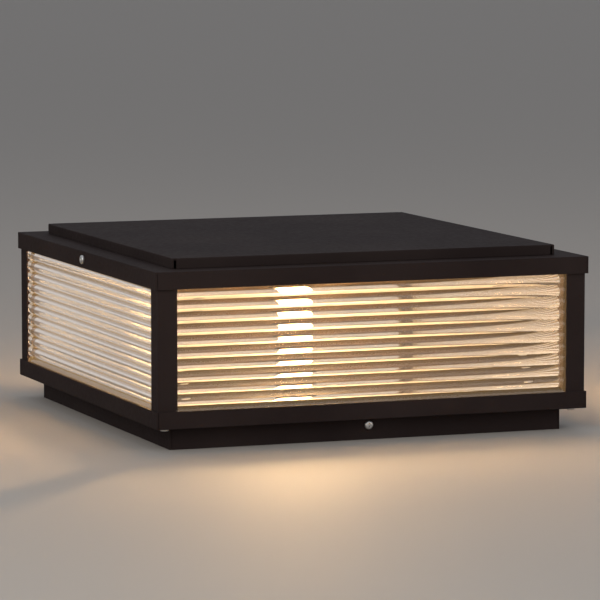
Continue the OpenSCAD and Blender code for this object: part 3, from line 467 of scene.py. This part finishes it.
def addCrossRecess(bm, top):
    reach = screwSet["headRadius"] * screwSet["recessLength"]
    half = screwSet["headRadius"] * screwSet["recessWidth"]
    depth = screwSet["headHeight"] * screwSet["recessDepth"]
    grid = bmesh.ops.create_grid(bm, x_segments=3, y_segments=3, size=1)["verts"]
    corners = []
    for vert in grid:
        outX, outY = abs(vert.co.x) > 0.5, abs(vert.co.y) > 0.5
        vert.co.x = (reach if outX else half) * (1 if vert.co.x > 0 else -1)
        vert.co.y = (reach if outY else half) * (1 if vert.co.y > 0 else -1)
        vert.co.z = top
        if outX and outY:
            corners.append(vert)
    arms = [vert for vert in grid if vert not in corners]
    bmesh.ops.delete(bm, geom=corners, context="VERTS")
    # the cross goes down, its lid goes away, and the head's top closes round its rim
    lids = once(face for vert in arms for face in vert.link_faces)
    floorVerts = vertsOf(bmesh.ops.extrude_face_region(bm, geom=lids)["geom"])
    bmesh.ops.delete(bm, geom=lids, context="FACES")
    bmesh.ops.scale(bm, verts=floorVerts, vec=(screwSet["recessTaper"], screwSet["recessTaper"], 1))
    bmesh.ops.translate(bm, verts=floorVerts, vec=(0, 0, -depth))
    rims = [edge for edge in bm.edges if len(edge.link_faces) == 1
            and all(abs(vert.co.z - top) < tiny for vert in edge.verts)]
    bmesh.ops.triangle_fill(bm, use_beauty=True, use_dissolve=False, edges=rims)


def makeScrews(name, node, places, length, countersunk=False):
    coreRadius = screwSet["shankRadius"] - screwSet["threadDepth"]
    pitch = screwSet["threadPitch"]
    top = 0 if countersunk else screwSet["headHeight"]
    neck = screwSet["headRadius"] - coreRadius if countersunk else 0
    turns = (length - neck - screwSet["plainPitches"] * pitch) / pitch
    whole = bmesh.new()
    for place in places:
        one = bmesh.new()
        addHeadAndCore(one, coreRadius, length, countersunk)
        addCrossRecess(one, top)
        addThread(one, coreRadius - screwSet["threadRoot"], screwSet["shankRadius"], -neck - pitch, turns,
                  pitch, screwSet["threadSection"], screwSet["threadSteps"])
        bmesh.ops.recalc_face_normals(one, faces=one.faces)
        bmesh.ops.transform(one, matrix=place, verts=one.verts)
        mesh = bpy.data.meshes.new("oneScrew")
        one.to_mesh(mesh)
        one.free()
        whole.from_mesh(mesh)
        bpy.data.meshes.remove(mesh)
    newPiece(whole, name, node, screwSet["sharpAngle"])


# the place of a screw's head, and its turn in degrees from upright
def standing(place, turn, axis):
    return Matrix.Translation(place) @ Matrix.Rotation(radians(turn), 4, axis)


def fourCorners(reach, height, turn):
    return [standing((x * reach, y * reach, height), turn, "X") for x in (1, -1) for y in (1, -1)]


low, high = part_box("cap_screws")
seat, height = high.x - screwSet["headHeight"], (low.z + high.z) / 2
places = [standing((side * seat, 0, height), side * 90, "Y") for side in (1, -1)]
makeScrews("capScrews", "cap_screws", places, screwSet["capLength"])
low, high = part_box("plinth_screws")
seat, height = high.y - screwSet["headHeight"], (low.z + high.z) / 2
places = [standing((0, -side * seat, height), side * 90, "X") for side in (1, -1)]
makeScrews("plinthScrews", "plinth_screws", places, screwSet["plinthLength"])
low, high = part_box("lower_post_screws")
places = fourCorners(high.x - screwSet["headRadius"], low.z + screwSet["headHeight"], 180)
makeScrews("lowerPostScrews", "lower_post_screws", places, screwSet["postLength"])
low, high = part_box("cover_screws")
places = fourCorners(high.x - screwSet["headRadius"], high.z - screwSet["headHeight"], 0)
makeScrews("coverScrews", "cover_screws", places, screwSet["coverLength"])
low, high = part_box("upper_post_screws")
places = fourCorners(high.x - screwSet["headRadius"], high.z, 0)
makeScrews("upperPostScrews", "upper_post_screws", places, screwSet["postLength"], countersunk=True)
print("screws made")


# Lamp's screw cap: a plain rim over a coarse rolled thread, whose top is measured from the foot
lampCapSet = {
    "rim": 6.2 * mm, "wall": 0.4 * mm, "footOpening": 11.1 * mm, "footRound": 1.2 * mm, "turnSteps": 64,
    "threadPitch": 3.6 * mm, "threadDepth": 0.8 * mm, "threadTurns": 2.8, "threadTop": 13.2 * mm,
    "threadSection": ((0, -0.42), (0.7, -0.22), (1, 0), (0.7, 0.22), (0, 0.42)),
}


def makeLampCap():
    low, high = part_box("lamp_cap")
    wall, bend, opening = lampCapSet["wall"], lampCapSet["footRound"], lampCapSet["footOpening"]
    crest, root = high.x, high.x - lampCapSet["threadDepth"]
    rimFoot = high.z - lampCapSet["rim"]
    rootTop = rimFoot - lampCapSet["threadDepth"]
    outside = [(opening, low.z), (root - bend, low.z), (root, low.z + bend), (root, rootTop),
               (crest, rimFoot), (crest, high.z)]
    inside = [(crest - wall, high.z), (crest - wall, rimFoot), (root - wall, rootTop),
              (root - wall, low.z + bend), (root - bend, low.z + wall), (opening, low.z + wall)]
    outline = outside + inside
    bm = bmesh.new()
    first = bm.verts.new((outline[0][0], 0, outline[0][1]))
    end = first
    for radius, height in outline[1:]:
        end = addProfileStep(bm, end, radius, height)
    bmesh.ops.contextual_create(bm, geom=[first, end])
    turnProfile(bm, lampCapSet["turnSteps"])
    addThread(bm, root - wall / 2, crest, low.z + lampCapSet["threadTop"], lampCapSet["threadTurns"],
              lampCapSet["threadPitch"], lampCapSet["threadSection"], lampCapSet["turnSteps"])
    bmesh.ops.recalc_face_normals(bm, faces=bm.faces)
    newPiece(bm, "lampCap", "lamp_cap")


makeLampCap()

# Turned and moulded parts by the lamp, with their curves shaded smooth
for node in ("lamp_envelope", "lampholder_body", "lampholder_sleeve"):
    newPiece(nodeShape(node), node + "_finished", node)
print("lamp and lampholder made")


# Sheet parts: finely rounded edges, by a width for each part
sheetSet = {
    "bendAngle": 40, "segments": 2, "flatWidth": 0.3 * mm,
    "edges": {
        "cap": 0.45 * mm, "top_plate": 0.45 * mm, "tray": 0.45 * mm, "plinth": 0.45 * mm,
        "upper_frame": 0.15 * mm, "mounting_plate": 0.25 * mm, "floor_cover": 0.15 * mm,
        "ceiling_reflector": 0.15 * mm, "lampholder_bracket": 0.2 * mm, "post_front_left": 0.3 * mm,
        "post_front_right": 0.3 * mm, "post_back_right": 0.3 * mm, "post_back_left": 0.3 * mm,
        "glass_rails": 0.15 * mm,
    },
}

# Corner seams: fine grooves where the front and back skirts of a folded sheet close against its sides
seamSet = {
    "nodes": ("cap", "tray", "plinth"), "fromCorner": 1.5 * mm, "width": 0.5 * mm, "depth": 0.6 * mm,
    "endGap": 0.7 * mm, "skin": 0.01 * mm,
}


def softenEdges(bm, width):
    turn = radians(sheetSet["bendAngle"])
    sharp = [edge for edge in bm.edges if len(edge.link_faces) == 2 and edge.calc_face_angle(0) > turn]
    bmesh.ops.bevel(bm, geom=sharp, offset=width, offset_type="OFFSET", segments=sheetSet["segments"],
                    affect="EDGES", profile=0.5, material=-1, clamp_overlap=True)


def cutSeams(bm, node):
    low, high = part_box(node)
    inner = high.x - seamSet["fromCorner"] - seamSet["width"]
    outer = high.x - seamSet["fromCorner"]
    bottom, top = low.z + seamSet["endGap"], high.z - seamSet["endGap"]

    def outside(face):
        return all(abs(abs(vert.co.y) - high.y) < seamSet["skin"] for vert in face.verts)

    planes = [((side * reach, 0, 0), axisX) for side in (1, -1) for reach in (inner, outer)]
    planes += [((0, 0, height), axisZ) for height in (bottom, top)]
    for place, normal in planes:
        faces = [face for face in bm.faces if outside(face)]
        edges = once(edge for face in faces for edge in face.edges)
        verts = once(vert for face in faces for vert in face.verts)
        bmesh.ops.bisect_plane(bm, geom=faces + edges + verts, plane_co=place, plane_no=normal, dist=tiny)
    lids = []
    for face in bm.faces:
        centre = face.calc_center_median()
        if outside(face) and inner < abs(centre.x) < outer and bottom < centre.z < top:
            lids.append(face)
    floorVerts = vertsOf(bmesh.ops.extrude_face_region(bm, geom=lids)["geom"])
    bmesh.ops.delete(bm, geom=lids, context="FACES")
    for vert in floorVerts:
        vert.co.y -= seamSet["depth"] if vert.co.y > 0 else -seamSet["depth"]
    print("seams in", node, len(lids))


for node, width in sheetSet["edges"].items():
    shape = nodeShape(node)
    softenEdges(shape, width)
    if node in seamSet["nodes"]:
        cutSeams(shape, node)
    newPiece(shape, node + "_finished", node, flatWidth=sheetSet["flatWidth"])
print("sheet parts made")

# The other nodes keep their shape
for node, piece in frame["nodes"].items():
    if not piece.hide_render:
        piece.data.materials.clear()
        piece.data.materials.append(finishes[slotOfNode[node]])
print("finishes on the carried-over nodes")


# Studio: pale floor, soft square lights with powers in watts
studioSet = {
    "floor": (0.57, 0.515, 0.46), "floorRough": 0.75, "floorGloss": 0.3, "floorReach": 20,
    "backdrop": (0.52, 0.55, 0.6), "sky": 0.42,
    "lights": {
        "key": {"place": (-1.7, -1.5, 1.0), "aim": (0, 0, 0.08), "size": 1.6, "power": 18,
                "colour": (1, 0.98, 0.95)},
        "fill": {"place": (1.2, -2.2, 0.9), "aim": (0, 0, 0.08), "size": 1.8, "power": 11,
                 "colour": (0.95, 0.97, 1)},
        "top": {"place": (0.2, 0.9, 2.2), "aim": (0, 0, 0.1), "size": 1.6, "power": 4,
                "colour": (1, 1, 1)},
    },
}


def makeFloor():
    material, shader = newMaterial("floor", studioSet["floor"], studioSet["floorRough"])
    setInputs(shader, {"Specular IOR Level": studioSet["floorGloss"]})
    bm = bmesh.new()
    bmesh.ops.create_grid(bm, x_segments=1, y_segments=1, size=studioSet["floorReach"])
    mesh = bpy.data.meshes.new("floor")
    bm.to_mesh(mesh)
    bm.free()
    mesh.materials.append(material)
    floor = bpy.data.objects.new("floor", mesh)
    scene.collection.objects.link(floor)


def makeBackdrop():
    world = bpy.data.worlds.new("studio")
    world.use_nodes = True
    scene.world = world
    colour = (*studioSet["backdrop"], 1)
    # the camera, gloss and glass see the plain colour, and the dimmer sky lights the rest
    lit = world.node_tree.nodes["Background"]
    setInputs(lit, {"Color": colour, "Strength": studioSet["sky"]})
    shown = addNode(world, "ShaderNodeBackground", Color=colour)
    seen = anyRay(world, "Is Camera Ray", "Is Glossy Ray", "Is Transmission Ray")
    mixShaders(world, seen, lit.outputs["Background"], shown.outputs["Background"], "World Output")


def makeLights():
    for name, choice in studioSet["lights"].items():
        data = bpy.data.lights.new(name, "AREA")
        data.shape = "SQUARE"
        data.size = choice["size"]
        data.energy = choice["power"]
        data.color = choice["colour"]
        light = bpy.data.objects.new(name, data)
        light.location = choice["place"]
        direction = Vector(choice["aim"]) - Vector(choice["place"])
        light.rotation_euler = direction.to_track_quat("-Z", "Y").to_euler()
        scene.collection.objects.link(light)


makeFloor()
makeBackdrop()
makeLights()
scene.view_settings.view_transform = "Standard"
print("studio made")
